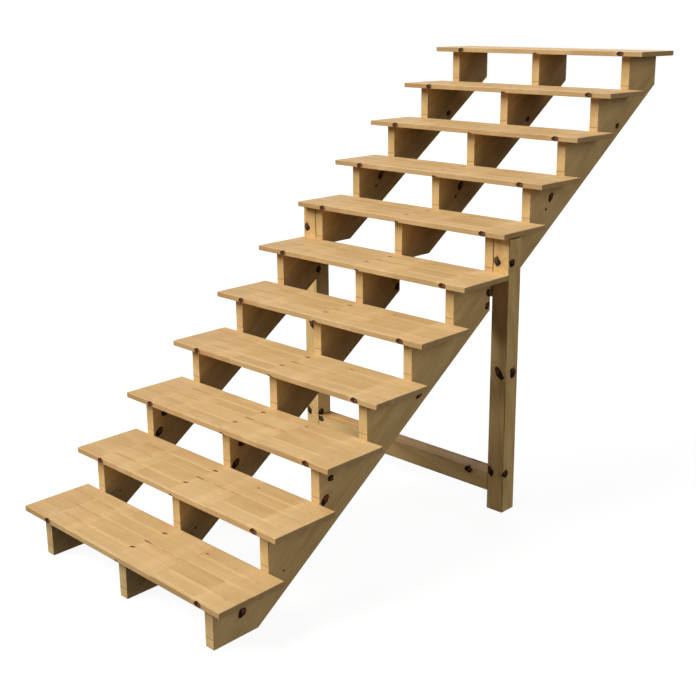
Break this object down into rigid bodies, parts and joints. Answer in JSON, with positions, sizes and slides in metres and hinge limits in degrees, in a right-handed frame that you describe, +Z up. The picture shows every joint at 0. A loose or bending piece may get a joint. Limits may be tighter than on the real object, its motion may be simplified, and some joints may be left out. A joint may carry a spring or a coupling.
{
  "type": "wooden deck stairs",
  "caption": "Straight open-riser timber flight with laminated treads on sawtooth stringers in two lengths, carried midway by a frame of square posts and crossbeams.",
  "frame": {"origin": "middle of the footprint, on the floor that the stringers' feet and the posts stand on", "axes": "+X to the right as a person climbs, +Y the way up the flight, +Z up"},
  "size_m": [1.304, 3.043, 2.074],
  "materials": {
    "tread_board": "planed laminated pine, satin",
    "stringer_plank": "planed softwood, satin",
    "frame_timber": "planed softwood, satin"
  },
  "bodies": {
    "root": {"tread_1": "tread_board", "tread_2": "tread_board", "tread_3": "tread_board", "tread_4": "tread_board", "tread_5": "tread_board", "tread_6": "tread_board", "tread_7": "tread_board", "tread_8": "tread_board", "tread_9": "tread_board", "tread_10": "tread_board", "tread_11": "tread_board", "left_lower_stringer": "stringer_plank", "middle_lower_stringer": "stringer_plank", "right_lower_stringer": "stringer_plank", "left_upper_stringer": "stringer_plank", "middle_upper_stringer": "stringer_plank", "right_upper_stringer": "stringer_plank", "left_post": "frame_timber", "right_post": "frame_timber", "lower_crossbeam": "frame_timber", "upper_crossbeam": "frame_timber"}
  },
  "joints": []
}
